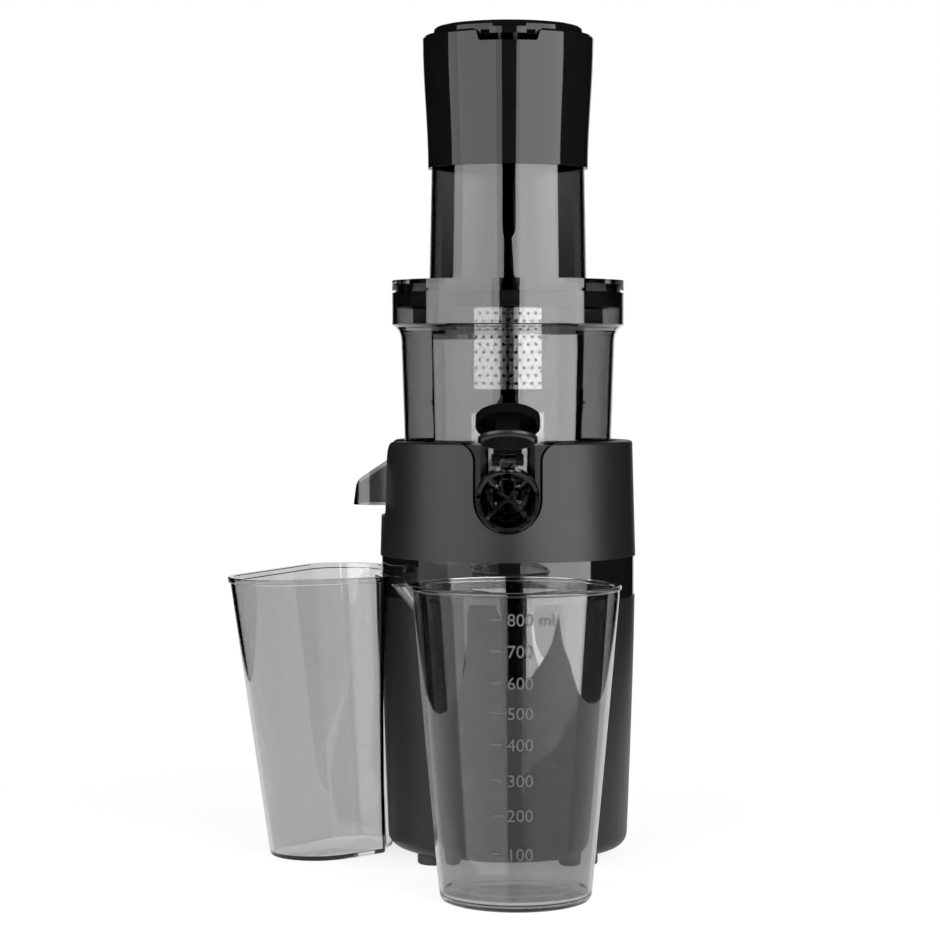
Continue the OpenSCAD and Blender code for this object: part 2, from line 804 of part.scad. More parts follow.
module hood_solid(inset) {
    corner = 9 - inset;
    half = hood_half_width - inset;
    reach = hood_reach - inset;
    bottom = z_hood - (inset > 0 ? 1 : 0);
    mirror([1, 0, 0]) intersection() {
        rotate([90, 0, 0]) linear_extrude(60, center = true) hood_profile(inset);
        translate([0, 0, bottom]) linear_extrude(60) {
            translate([45, -half]) square([reach - corner - 45, 2 * half]);
            translate([45, -half + corner]) square([reach - 45, 2 * (half - corner)]);
            for (y = [-half + corner, half - corner]) translate([reach - corner, y]) circle(r = corner);
        }
    }
}

module juice_bowl() {
    color([0.25, 0.25, 0.27, 0.55]) {
        difference() {
            union() {
                rotate_extrude() bowl_section(0, z_bowl);
                spout_body(0);
                hood_solid(0);
                rotate([0, 90, 0]) linear_extrude(lug_width, center = true) lug_outline();
            }
            rotate_extrude() bowl_section(bowl_wall, z_bowl - 1);
            spout_body(mouth_wall);
            intersection() {
                hood_solid(hood_wall);
                translate([0, 0, z_hood - 2]) difference() {
                    cylinder(r = 120, h = 60);
                    translate([0, 0, -1]) cylinder(r = bowl_r_bottom + 6, h = 7);
                }
            }
            translate([0, -spout_reach, z_hinge]) rotate([0, 90, 0])
                cylinder(r = hinge_pin_r, h = hinge_width + 2, center = true);
            translate([-bowl_r_top - 1, -10, z_hood + 5]) cube([14, 20, duct_height - 3]);
        }
        bowl_floor();
        spout_fins();
    }
}

// Side view of the hinge lug: x points down and y points back, from the machine axis
module lug_outline() {
    foot = -z_spout - mouth_r + 2;
    translate([-z_hinge, -spout_reach]) circle(r = knuckle_r);
    polygon([
        [-z_hinge, -spout_reach - knuckle_r], [foot, -spout_reach - 1],
        [foot, -spout_reach + knuckle_r + 1], [-z_hinge, -spout_reach + knuckle_r]
    ]);
}

// Floor of the bowl with the raised hub that the auger's stem passes through
module bowl_floor() {
    difference() {
        union() {
            translate([0, 0, z_floor]) cylinder(r = bowl_r(z_floor) - bowl_wall / 2, h = floor_thickness);
            translate([0, 0, z_floor - 6]) cylinder(r = hub_r, h = 6 + floor_thickness);
        }
        translate([0, 0, z_floor - 10]) cylinder(r = stem_r + 1.5, h = 30);
    }
}

// Cross of thin fins inside the mouth of the juice spout
module spout_fins() {
    fin = 1.2;
    at_mouth() for (a = [45, 135]) rotate(a)
        translate([-mouth_r + mouth_wall / 2, -fin / 2, -8]) cube([2 * mouth_r - mouth_wall, fin, 4]);
}

module bowl_seal() {
    color([0.2, 0.2, 0.2]) translate([0, 0, z_floor - 4])
        ring(stem_r + 1.5 - 0.02, stem_r + 0.1, 6);
}

module hinge_pin() {
    color("silver") translate([0, -spout_reach, z_hinge]) rotate([0, 90, 0])
        cylinder(r = hinge_pin_r - 0.02, h = hinge_width, center = true);
}

module strainer_section(inset) {
    z1 = z_strainer + strainer_height;
    polygon([
        [0, z_strainer - (inset > 0 ? 1 : 0)], [strainer_r_bottom - inset, z_strainer - (inset > 0 ? 1 : 0)],
        [strainer_r_top - inset, z1 + (inset > 0 ? 1 : 0)], [0, z1 + (inset > 0 ? 1 : 0)]
    ]);
}

// The four screen windows of one kind, as blocks that reach through the wall
module windows(z0, width, height) {
    for (a = [0, 90, 180, 270]) rotate(a)
        translate([-width / 2, -60, z0]) cube([width, 60, height]);
}

module strainer_frame() {
    rib = 1.2;
    color([0.3, 0.3, 0.32, 0.6]) difference() {
        union() {
            rotate_extrude() strainer_section(0);
            for (z = [z_fine - 3, z_fine + 21.5, z_coarse - 8, z_coarse + 8.7, z_coarse + 26])
                translate([0, 0, z]) cylinder(r = strainer_r(z) + rib, h = rib);
        }
        rotate_extrude() strainer_section(strainer_wall);
        windows(z_coarse, coarse_width, coarse_height);
        windows(z_fine, fine_width, fine_height);
        translate([-60, -11, z_strainer + 3]) cube([60, 22, duct_height]);
    }
}

// A screen is folded from flat strips, one for each column of holes, and leans with the wall
strip_angle = 2 * asin(coarse_pitch / 4 / strainer_r_bottom);
strips = 2 * ceil(asin(fine_width / 2 / strainer_r_bottom) / strip_angle) + 1;
wall_lean = atan2(strainer_r_top - strainer_r_bottom, strainer_height);

function strip_radius(z) = strainer_r(z) - strainer_wall / 2;

module screen_shell(z0, width, height) {
    middle = z0 + height / 2;
    function corner(i, r) = r / cos(strip_angle / 2)
        * [sin((i - strips / 2) * strip_angle), -cos((i - strips / 2) * strip_angle)];
    for (a = [0, 90, 180, 270]) rotate(a) intersection() {
        translate([0, -strip_radius(middle), middle]) rotate([wall_lean, 0, 0])
            translate([0, strip_radius(middle), -height]) linear_extrude(2 * height) polygon(concat(
                [for (i = [0 : strips]) corner(i, strip_radius(middle) + screen_wall / 2)],
                [for (i = [strips : -1 : 0]) corner(i, strip_radius(middle) - screen_wall / 2)]
            ));
        translate([-width / 2 + screen_play, -60, z0 + screen_play])
            cube([width - 2 * screen_play, 60, height - 2 * screen_play]);
    }
}

module coarse_screens() {
    rows = floor((coarse_height - 3) / coarse_pitch) + 1;
    edge = asin((coarse_width / 2 - coarse_hole) / strainer_r_bottom) / strip_angle;
    middle = z_coarse + coarse_height / 2;
    color([0.85, 0.85, 0.85]) difference() {
        screen_shell(z_coarse, coarse_width, coarse_height);
        for (a = [0, 90, 180, 270], row = [0 : rows - 1], strip = [-floor(edge) : floor(edge)])
            if ((row + strip + 100) % 2 == 0) rotate(a)
                translate([0, -strip_radius(middle), middle]) rotate([wall_lean, 0, 0])
                    translate([0, strip_radius(middle), (row - (rows - 1) / 2) * coarse_pitch])
                        rotate([90, 0, strip * strip_angle])
                            translate([0, 0, strip_radius(middle) - 2])
                                cylinder(r = coarse_hole / 2, h = 4, $fn = 16);
    }
}

module fine_screens() {
    color([0.8, 0.8, 0.8]) screen_shell(z_fine, fine_width, fine_height);
}

// ---- Drip cap ----

// The cap is drawn closed, in front of the mouth, about the hinge pin as its origin
module cap_frame() {
    translate([0, -spout_reach, z_hinge]) rotate([-cap_open, 0, 0]) children();
}

cap_face = 12.8;
cap_drop = 1.2;
cap_depth = 5;
cap_wall = 1.6;
seal_r = mouth_r - 1.2;

// The closed seal's own frame: +Z points out of the mouth
module seal_frame() {
    translate([0, 0, -hinge_rise]) rotate([90 + spout_tilt, 0, 0]) children();
}

module drip_cap() {
    color([0.04, 0.04, 0.045]) cap_frame() difference() {
        union() {
            translate([0, -cap_face, -hinge_rise - cap_drop]) rotate([-90, 0, 0]) difference() {
                cylinder(r = cap_r, h = cap_depth);
                translate([0, 0, cap_wall]) cylinder(r = cap_r - cap_wall, h = cap_depth);
            }
            rotate([0, 90, 0]) cylinder(r = knuckle_r, h = hinge_width, center = true);
            rotate([90, 0, 90]) linear_extrude(hinge_width - 2, center = true) polygon([
                [0, knuckle_r], [-cap_face + 1, knuckle_r - 3], [-cap_face, -4], [-cap_face, -10],
                [-cap_face + cap_wall, -10], [-cap_face + 3, -5], [-3, -knuckle_r + 1]
            ]);
            intersection() {
                translate([-6, -cap_face + 0.5, -hinge_rise - 6]) cube([12, cap_face, 12]);
                seal_frame() translate([0, 0, 3]) cylinder(r = 30, h = 30);
            }
        }
        rotate([0, 90, 0]) cylinder(r = hinge_pin_r + running_gap, h = 40, center = true);
        rotate([0, 90, 0]) cylinder(r = knuckle_r + 0.5, h = lug_width + 0.4, center = true);
    }
}

module drip_seal() {
    plug_r = mouth_r - mouth_wall - 0.7;
    color([0.23, 0.23, 0.24]) cap_frame() seal_frame() rotate_extrude() polygon([
        [0, -1], [plug_r - 1, -1], [plug_r, 0.25], [seal_r, 0.25], [seal_r, 1.6],
        [seal_r - 1, 2.4], [6, 3], [0, 3]
    ]);
}

// ---- Auger ----

module auger() {
    z1 = auger_foot_z + auger_height;
    foot = 14;
    core_r = auger_r_bottom - 6;
    tip_r = 8;
    color([0.2, 0.2, 0.21]) difference() {
        union() {
            rotate_extrude() polygon(concat(
                [[0, z_bowl + 4], [stem_r, z_bowl + 4], [stem_r, auger_foot_z],
                 [auger_r_bottom, auger_foot_z], [auger_r_bottom, auger_foot_z + 3],
                 [core_r, auger_foot_z + foot]],
                [for (t = [1 : 6]) [
                    tip_r + (core_r - tip_r) * pow(1 - t / 6, 1.35),
                    auger_foot_z + foot + (auger_height - foot) * t / 6
                ]],
                [[0, z1 + 3]]
            ));
            translate([0, 0, auger_foot_z + 2]) linear_extrude(
                auger_height - 6, twist = 330, slices = 60,
                scale = auger_r_top / auger_r_bottom, convexity = 8, $fn = 12
            ) for (i = [0 : flight_count - 1]) rotate(i * 360 / flight_count) flight_outline(3.6);
            translate([0, 0, auger_foot_z + 2]) linear_extrude(
                rib_height, twist = 90, slices = 18,
                scale = (auger_r_bottom + 0.6) / auger_r_bottom * 0.99, convexity = 8, $fn = 12
            ) for (i = [0 : rib_count - 1]) rotate((i + 0.5) * 360 / rib_count + 20) flight_outline(2.2);
        }
        translate([0, 0, z_bowl]) cylinder(r = hex_r + 0.25, h = hex_top + 1 - z_bowl, $fn = 6);
    }
}

// Plan of one flight, from the middle out to the strainer
module flight_outline(width) {
    r = auger_r_bottom;
    polygon([[0, -width], [r * 0.8, -width * 0.7], [r, -width * 0.35], [r, width * 0.35], [0, width]]);
}

// ---- Lid and hopper ----

module lid() {
    plug_r = ring_r - bowl_wall - 2.6;
    plug_wall = 2;
    skirt_z = z_strainer + strainer_height + 1;
    color([0.22, 0.22, 0.24, 0.5]) difference() {
        union() {
            translate([0, 0, z_flange]) cylinder(r = ring_r, h = flange_height);
            translate([0, 0, z_mouth]) cylinder(r = ring_r - 1.6, h = groove_height + 1);
            translate([0, 0, z_mouth - plug_height]) cylinder(r = plug_r, h = plug_height + 1);
        }
        difference() {
            translate([0, 0, z_mouth - plug_height - 1])
                cylinder(r = plug_r - plug_wall, h = z_lid_top - tube_wall - z_mouth + plug_height + 1);
            translate([0, 0, skirt_z]) cylinder(r = tube_r, h = 50);
        }
        translate([0, 0, z_mouth - 40]) cylinder(r = tube_r - tube_wall, h = z_lid_top - z_mouth + 41);
    }
}

// The feed tube is welded onto the lid's flat top
module feed_tube() {
    rib_w = 4.2;
    rib_h = 23.5;
    color([0.22, 0.22, 0.24, 0.5]) difference() {
        union() {
            translate([0, 0, z_lid_top]) cylinder(r1 = tube_r, r2 = tube_at(z_tube_top), h = tube_height);
            translate([0, -tube_r + 1, z_lid_top]) rotate([90, 0, 0]) linear_extrude(2.2) {
                translate([-rib_w / 2, 0]) square([rib_w, rib_h - rib_w / 2]);
                translate([0, rib_h - rib_w / 2]) circle(r = rib_w / 2);
            }
        }
        translate([0, 0, z_lid_top - 1]) cylinder(
            r1 = tube_at(z_lid_top - 1) - tube_wall, r2 = tube_at(z_tube_top + 1) - tube_wall,
            h = tube_height + 2
        );
    }
}

module lid_gasket() {
    plug_r = ring_r - bowl_wall - 2.6;
    color([0.05, 0.05, 0.05]) translate([0, 0, z_mouth - plug_height])
        ring(ring_r - bowl_wall - 0.3, plug_r + 0.02, plug_height);
}

// Half section of the hopper: its side swells in a soft S, and a ledge rests on the feed tube
module hopper_section() {
    play = 0.25;
    ledge = tube_at(z_tube_top) + play - tube_wall;
    mouth = hopper_r_top - hopper_wall;
    steps = 8;
    function swell(t) = hopper_r_bottom + (hopper_r_top - hopper_r_bottom) * t * t * (3 - 2 * t);
    polygon(concat(
        [[tube_at(z_hopper) + play, z_hopper]],
        [for (i = [0 : steps]) [swell(i / steps), z_hopper + (hopper_height - 1.2) * i / steps]],
        [
            [hopper_r_top - 0.8, z_hopper_rim], [mouth, z_hopper_rim], [mouth, z_hopper_rim - 3.2],
            [mouth - 1.6, z_hopper_rim - 3.2], [mouth - 1.6, z_hopper_rim - 5],
            [ledge, z_tube_top + 4], [ledge, z_tube_top + play],
            [tube_at(z_tube_top) + play, z_tube_top + play]
        ]
    ));
}

// Front view of the notch in the hopper's rim
module hopper_notch(extra) {
    half = notch_width / 2 - extra;
    flat = half - 3.5;
    translate([0, 0, z_hopper_rim - notch_depth + extra]) rotate([90, 0, 0]) linear_extrude(80) polygon([
        [-flat, 0], [flat, 0], [flat + 1, 0.5], [half - 1.2, notch_depth - 1.4], [half, notch_depth],
        [half, notch_depth + 4], [-half, notch_depth + 4], [-half, notch_depth],
        [-half + 1.2, notch_depth - 1.4], [-flat - 1, 0.5]
    ]);
}

module hopper() {
    color([0.04, 0.04, 0.045]) difference() {
        rotate_extrude() hopper_section();
        hopper_notch(0);
    }
}

module hopper_lid() {
    rim_r = hopper_r_top - hopper_wall - clearance;
    base = z_hopper_rim - 2.9;
    top = z_hopper_rim + cap_rise;
    rounding = 2;
    pocket = 4.8;
    color([0.05, 0.05, 0.055]) {
        difference() {
            rotate_extrude() polygon(concat(
                [[0, base], [rim_r, base], [rim_r, z_hopper_rim - 0.4]],
                [[cap_top_r + 0.4, z_hopper_rim - 0.4]],
                [for (a = [0 : 22.5 : 90]) [
                    cap_top_r - rounding + rounding * cos(a), top - rounding + rounding * sin(a)
                ]],
                [[cap_top_r - 5, top], [cap_top_r - 6, top - 1], [0, top - 1]]
            ));
            for (side = [-1, 1]) translate([side * (tongue_width + pocket) / 2, -rim_r, base - 1])
                translate([-pocket / 2, -1, 0]) cube([pocket, 5, cap_rise + 3]);
        }
        intersection() {
            translate([-tongue_width / 2, -hopper_r_top - 1, base]) cube([tongue_width, 8, 3.4]);
            cylinder(r = hopper_r_top + 0.6, h = top);
        }
    }
}

// ---- Cups ----

// Outer radius of the juice cup at height z: a gentle barrel between foot and rim
function cup_r(z) = cup_r_bottom + (cup_r_top - cup_r_bottom) * pow(z / (cup_height - 6), 0.93);

module cup_section(inset) {
    floor_z = inset > 0 ? 3 : 0;
    top = cup_height + (inset > 0 ? 1 : 0);
    foot = 2.5;
    polygon(concat(
        [[0, floor_z], [cup_r(0) - inset - foot, floor_z]],
        [[cup_r(0) - inset - foot * 0.3, floor_z + foot * 0.3]],
        [for (i = [0 : 6]) let (z = floor_z + foot + (cup_height - 6 - foot - floor_z) * i / 6)
            [cup_r(z) - inset, z]],
        [[cup_r_top - inset + 0.1, top], [0, top]]
    ));
}

module cup_lip(inset) {
    lean = 24;
    length = 42;
    base_r = 1.5;
    end_r = 13;
    tip_z = cup_height + 6;
    end_x = lip_reach - end_r * cos(lean) + 2.4 - inset;
    intersection() {
        translate([-end_x, 0, tip_z]) rotate([0, -lean, 0]) translate([0, 0, -length])
            cylinder(r1 = base_r, r2 = end_r - inset, h = length);
        translate([-100, -50, 100]) cube([100, 100, cup_height - 100 + (inset > 0 ? 1 : 0)]);
    }
}

module juice_cup() {
    bead = 1.2;
    color([0.3, 0.3, 0.32, 0.45]) translate([cup_x, -cup_front, 0]) difference() {
        union() {
            rotate_extrude() cup_section(0);
            rotate_extrude() translate([cup_r_top, cup_height - bead]) circle(r = bead, $fn = 24);
            cup_lip(0);
        }
        rotate_extrude() cup_section(cup_wall);
        cup_lip(cup_wall);
    }
}

// Plan of the pulp container at a given outward growth: three round corners
module bin_outline(grow) {
    hull() {
        translate([-housing_r_top - bin_reach - 0.85 * grow, bin_y - 1.15 * grow])
            circle(r = bin_front_r + 0.12 * grow, $fn = 48);
        translate([-housing_r_top + 0.8, bin_y + bin_inner_r + 1 - 1.4 * grow])
            circle(r = bin_inner_r, $fn = 24);
        translate([-housing_r_top - bin_back_reach - 0.4 * grow, bin_y + bin_length + 0.95 * grow])
            circle(r = bin_back_r + 0.15 * grow, $fn = 48);
    }
}

module bin_solid(inset) {
    bottom = inset > 0 ? 2.6 : 0;
    top = bin_height + (inset > 0 ? 1 : 0);
    hull() {
        translate([0, 0, bottom]) linear_extrude(0.1) offset(delta = -inset) bin_outline(0);
        translate([0, 0, top - 0.1]) linear_extrude(0.1) offset(delta = -inset) bin_outline(bin_taper);
    }
}

// Space that the housing takes out of the container's side
module bin_relief(gap) {
    translate([0, 0, -1]) cylinder(r = housing_r_bottom + gap, h = z_housing + 1 + eps);
    translate([0, 0, z_housing]) cylinder(
        r1 = housing_r_bottom + gap, r2 = collar_r_bottom + gap, h = bin_height + 2 - z_housing
    );
}

module pulp_container() {
    color([0.32, 0.32, 0.34, 0.45]) difference() {
        union() {
            bin_solid(0);
            translate([0, 0, bin_height - 2.4]) linear_extrude(2.4)
                offset(delta = 1) bin_outline(bin_taper);
        }
        bin_relief(bin_gap);
        difference() {
            bin_solid(cup_wall);
            bin_relief(bin_gap + cup_wall);
        }
    }
}

base_housing();
glossy_band();
collar();
bowl_seat();
bottom_cover();
rubber_feet();
base_screws();
motor_can();
gearbox_case();
gearbox_cover();
idler_axle();
shaft_bearings();
shaft_seal();
control_board();
switch_bezel();
cord_gland();
motor_shaft();
cooling_fan();
idler_gear();
output_gear();
drive_shaft();
rocker_switch();
juice_bowl();
bowl_seal();
hinge_pin();
strainer_frame();
coarse_screens();
fine_screens();
drip_cap();
drip_seal();
auger();
lid();
feed_tube();
lid_gasket();
hopper();
hopper_lid();
juice_cup();
pulp_container();
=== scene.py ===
"""Upright cold press juicer with its juice cup and pulp container: the finish of every piece."""

import math

import bmesh
import bpy
from mathutils import Matrix, Vector


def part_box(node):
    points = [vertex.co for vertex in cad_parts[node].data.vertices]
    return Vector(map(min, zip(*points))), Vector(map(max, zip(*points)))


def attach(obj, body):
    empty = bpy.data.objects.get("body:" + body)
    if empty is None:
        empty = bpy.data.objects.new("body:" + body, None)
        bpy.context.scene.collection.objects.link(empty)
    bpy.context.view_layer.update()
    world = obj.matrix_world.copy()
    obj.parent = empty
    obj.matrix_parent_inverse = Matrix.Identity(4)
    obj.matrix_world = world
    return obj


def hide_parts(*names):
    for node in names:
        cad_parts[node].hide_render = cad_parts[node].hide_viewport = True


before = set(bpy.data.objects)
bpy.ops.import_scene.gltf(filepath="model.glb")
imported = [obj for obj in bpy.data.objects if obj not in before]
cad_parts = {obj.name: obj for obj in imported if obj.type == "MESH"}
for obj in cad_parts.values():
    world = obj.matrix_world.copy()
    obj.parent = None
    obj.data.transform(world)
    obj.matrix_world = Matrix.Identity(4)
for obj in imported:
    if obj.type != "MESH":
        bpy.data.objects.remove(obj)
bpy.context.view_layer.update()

# ---- Camera ----
# A long lens a metre and a half in front of the juicer, a little above the middle of the
# machine and tipped down by two degrees. The juicer stands right of the middle of the frame.
camera_data = bpy.data.cameras.new("camera")
camera_data.lens = 103.4
camera_data.sensor_width = 36
camera_data.clip_start = 0.1
camera_data.clip_end = 20
camera = bpy.data.objects.new("camera", camera_data)
camera.location = (0, -1.463, 0.2657)
camera.rotation_euler = (math.radians(90 - 2.23), 0, math.radians(0.803))
bpy.context.scene.collection.objects.link(camera)
bpy.context.scene.camera = camera
bpy.context.scene.view_settings.view_transform = "Standard"


# ---- Studio ----
# Tall light panels stand left and right of the camera, with a narrow dark gap between them
# that every polished piece repeats as a black stripe. Black cards close the sides, the
# ceiling and the ground in front of the table. The table top and the back wall are white.
class Wire:
    """The value on a node's output. Sums and products of wires add the Math nodes for them."""

    def __init__(self, tree, socket):
        self.tree = tree
        self.socket = socket

    def math(self, operation, *others, clamp=False):
        made = self.tree.nodes.new("ShaderNodeMath")
        made.operation = operation
        made.use_clamp = clamp
        for place, value in enumerate((self, *others)):
            join(self.tree, value, made.inputs[place])
        return Wire(self.tree, made.outputs[0])

    def __add__(self, other):
        return self.math("ADD", other)

    def __sub__(self, other):
        return self.math("SUBTRACT", other)

    def __rsub__(self, other):
        return (self * -1) + other

    def __mul__(self, other):
        return self.math("MULTIPLY", other)

    __radd__ = __add__
    __rmul__ = __mul__

    def rise(self, low, high):
        """0 below low, 1 above high, and an even ramp between them."""
        return ((self - low) * (1 / (high - low))).math("ADD", 0, clamp=True)


def join(tree, value, socket):
    """Puts a wire or a plain value on a socket."""
    if isinstance(value, Wire):
        tree.links.new(value.socket, socket)
    else:
        socket.default_value = value


class Finish:
    """A node tree being built. node() sets a node's own settings first, then its sockets."""

    def __init__(self, owner):
        owner.use_nodes = True
        self.owner = owner
        self.tree = owner.node_tree
        self.tree.nodes.clear()

    def node(self, kind, settings=None, inputs=None, output=0):
        made = self.tree.nodes.new("ShaderNode" + kind)
        for name, value in (settings or {}).items():
            setattr(made, name, value)
        for name, value in (inputs or {}).items():
            join(self.tree, value, made.inputs[name])
        return Wire(self.tree, made.outputs[output]) if len(made.outputs) else None

    def surface(self, wire):
        kind = "OutputWorld" if isinstance(self.owner, bpy.types.World) else "OutputMaterial"
        self.node(kind, inputs={"Surface": wire})
        return self.owner

    def mix(self, share, low, high):
        """A colour between two colours."""
        return self.node("Mix", {"data_type": "RGBA"}, {0: share, 6: low, 7: high}, output=2)

    def seen(self):
        """1 for what the camera sees, straight or in gloss or through glass, and 0 for light."""
        kinds = ("Camera", "Glossy", "Transmission")
        rays = [self.node("LightPath", output=f"Is {kind} Ray") for kind in kinds]
        return (rays[0] + rays[1]).math("ADD", rays[2], clamp=True)

    def split_by_gloss(self, straight, in_gloss):
        """One shader for what shows straight or through glass, and one for reflections."""
        depth = self.node("LightPath", output="Glossy Depth").math("MINIMUM", 1)
        return self.node("MixShader", inputs={0: depth, 1: straight, 2: in_gloss})

    def emission(self, strength):
        """A white glow."""
        return self.node("Emission", inputs={"Color": grey(1), "Strength": strength})


def grey(value):
    return (value, value, value, 1)


def new_object(name, bm, finish):
    """Makes an object from a bmesh, at the origin."""
    mesh = bpy.data.meshes.new(name)
    bm.to_mesh(mesh)
    bm.free()
    made = bpy.data.objects.new(name, mesh)
    mesh.materials.append(finish)
    bpy.context.scene.collection.objects.link(made)
    return made


def at(azimuth, distance):
    """A place on the floor, seen from the machine's axis. Azimuth 0 is towards the camera."""
    turn = math.radians(azimuth)
    return distance * math.sin(turn), -distance * math.cos(turn)


def panel(name, near, far, low, high, strength):
    """An upright light panel between two places on the floor, facing the juicer."""
    near, far = Vector((*near, (low + high) / 2)), Vector((*far, (low + high) / 2))
    data = bpy.data.lights.new(name, "AREA")
    data.shape = "RECTANGLE"
    data.size = (far - near).length
    data.size_y = high - low
    data.energy = strength * math.pi * data.size * data.size_y
    light = bpy.data.objects.new(name, data)
    light.location = (near + far) / 2
    across = (far - near).cross(Vector((0, 0, 1)))
    facing = across if across.dot(-light.location) > 0 else -across
    light.rotation_euler = facing.to_track_quat("-Z", "Y").to_euler()
    light.visible_camera = False
    bpy.context.scene.collection.objects.link(light)


# The left panel has a dimmer far end and a dim, narrower foot below it. The right panel is
# the brighter one, and reaches lower, most of all next to the camera.
top, left_foot, right_foot = 0.9, 0.09, -0.22
left_edge, left_joint, left_end = at(-8.2, 1.62), at(-70, 1.0835), at(-85.6, 1.2)
right_edge, right_end = at(11.2, 1.62), at(78, 1.2)
panel("left_panel", left_edge, left_joint, low=left_foot, high=top, strength=3.15)
panel("left_far_panel", left_joint, left_end, low=left_foot, high=top, strength=2.2)
panel("left_foot_panel", left_edge, at(-54.5, 1.2), low=-0.5, high=left_foot, strength=0.8)
panel("right_panel", right_edge, right_end, low=right_foot, high=top, strength=4.7)
panel("right_foot_panel", right_edge, at(36, 1.35), low=-0.32, high=right_foot, strength=4.7)

world = bpy.data.worlds.new("studio")
bpy.context.scene.world = world
air = Finish(world)
fill = air.node("Background", inputs={"Color": grey(1), "Strength": 0.3})
white = air.node("Background", inputs={"Color": grey(1), "Strength": 1.0})
air.surface(air.node("MixShader", inputs={0: air.seen(), 1: fill, 2: white}))

# The sheet under the juicer keeps the shadow and runs out into plain white. Reflections
# leave it out and show the table top below it.
sheet_finish = Finish(bpy.data.materials.new("white_sheet"))
shadow_end, white_start = 0.2, 0.42
spot = sheet_finish.node("TexCoord", output="Object")
away = sheet_finish.node("VectorMath", {"operation": "LENGTH"}, {0: spot}, output=1)
laid = sheet_finish.node("BsdfDiffuse", inputs={"Color": grey(0.8)})
dim = sheet_finish.node("BsdfDiffuse", inputs={"Color": grey(0.36)})
shaded = sheet_finish.node("AddShader", inputs={0: dim, 1: sheet_finish.emission(0.78)})
shown = sheet_finish.node("MixShader", inputs={
    0: away.rise(shadow_end, white_start), 1: shaded, 2: sheet_finish.emission(1.0),
})
shown = sheet_finish.split_by_gloss(shown, sheet_finish.node("BsdfTransparent"))
sheet_white = sheet_finish.surface(
    sheet_finish.node("MixShader", inputs={0: sheet_finish.seen(), 1: laid, 2: shown})
)
bm = bmesh.new()
bmesh.ops.create_grid(bm, x_segments=1, y_segments=1, size=1.2)
sheet = new_object("white_sheet", bm, sheet_white)
sheet.visible_glossy = False

# What polished pieces mirror of the room: the table's white top up to its front edge, and
# black cards. The two upper side cards also show straight through the clear pieces.
table_finish = Finish(bpy.data.materials.new("table_top"))
table_white = table_finish.surface(
    table_finish.split_by_gloss(table_finish.node("BsdfTransparent"), table_finish.emission(0.8))
)
black_paper = {"Color": grey(0.003)}
card_finish = Finish(bpy.data.materials.new("card_black"))
card_black = card_finish.surface(card_finish.node("BsdfDiffuse", inputs=black_paper))
hidden_finish = Finish(bpy.data.materials.new("low_card_black"))
hidden_black = hidden_finish.surface(hidden_finish.split_by_gloss(
    hidden_finish.node("BsdfTransparent"), hidden_finish.node("BsdfDiffuse", inputs=black_paper)
))


def mirrored(made):
    """Leaves a studio piece to reflections and to what shows through glass."""
    made.visible_camera = made.visible_diffuse = made.visible_shadow = False


def board(name, finish, low, high, z):
    """A level board between two corners."""
    bm = bmesh.new()
    size = Vector((high[0] - low[0], high[1] - low[1], 1))
    middle = Vector(((high[0] + low[0]) / 2, (high[1] + low[1]) / 2, z))
    bmesh.ops.create_grid(bm, x_segments=1, y_segments=1, size=0.5)
    bmesh.ops.scale(bm, vec=size, verts=bm.verts[:])
    bmesh.ops.translate(bm, vec=middle, verts=bm.verts[:])
    mirrored(new_object(name, bm, finish))


def card(name, finish, start, stop, distance, low, high):
    """A curved card between two azimuths and two heights."""
    bm = bmesh.new()
    edge = bm.edges.new([bm.verts.new((*at(start, distance), z)) for z in (low, high)])
    bmesh.ops.spin(
        bm, geom=[edge], cent=(0, 0, 0), axis=(0, 0, 1), angle=math.radians(stop - start), steps=24
    )
    mirrored(new_object(name, bm, finish))


below_sheet, ground, ceiling = -0.0004, -0.6, 1.3
board("table_top", table_white, low=(-0.42, -0.55), high=(0.46, 1.2), z=below_sheet)
board("ground_card", hidden_black, low=(-2.5, -2.8), high=(2.5, 1.5), z=ground)
board("ceiling_card", hidden_black, low=(-2.5, -2.8), high=(2.5, 1.3), z=ceiling)
left_side = {"start": -162, "stop": -86, "distance": 1.3}
right_side = {"start": 79, "stop": 158, "distance": 1.3}
left_seam, right_seam = 0.2, 0.16
card("left_card", card_black, **left_side, low=left_seam, high=ceiling)
card("right_card", card_black, **right_side, low=right_seam, high=ceiling)
card("left_low_card", hidden_black, **left_side, low=ground, high=left_seam)
card("right_low_card", hidden_black, **right_side, low=ground, high=right_seam)
card("front_card", hidden_black, start=-16, stop=16, distance=2.0, low=ground, high=ceiling)

# Behind the feed tube hangs a glowing screen that darkens downwards and towards its middle:
# painted light and painted shade, which show only through the clear pieces.
screen_finish = Finish(bpy.data.materials.new("back_screen"))
spot = screen_finish.node("TexCoord", output="Object")
x, z = (screen_finish.node("SeparateXYZ", inputs={0: spot}, output=axis) for axis in "XZ")
shade = z.rise(0.29, 0.40) * x.math("ABSOLUTE").rise(0.018, 0.03)
# painted light where the screen glows white, painted shade where it is black
screen_light_and_shade = screen_finish.surface(screen_finish.node("MixShader", inputs={
    0: shade, 1: screen_finish.emission(0.0), 2: screen_finish.emission(1.0),
}))
bm = bmesh.new()
bmesh.ops.create_grid(bm, x_segments=1, y_segments=1, size=0.5)
screen_width, screen_height, screen_place = 0.16, 0.13, (0, 0.3, 0.351)
bmesh.ops.scale(bm, vec=(screen_width, screen_height, 1), verts=bm.verts[:])
bmesh.ops.rotate(bm, matrix=Matrix.Rotation(math.pi / 2, 3, "X"), verts=bm.verts[:])
bmesh.ops.translate(bm, vec=screen_place, verts=bm.verts[:])
mirrored(new_object("back_screen", bm, screen_light_and_shade))


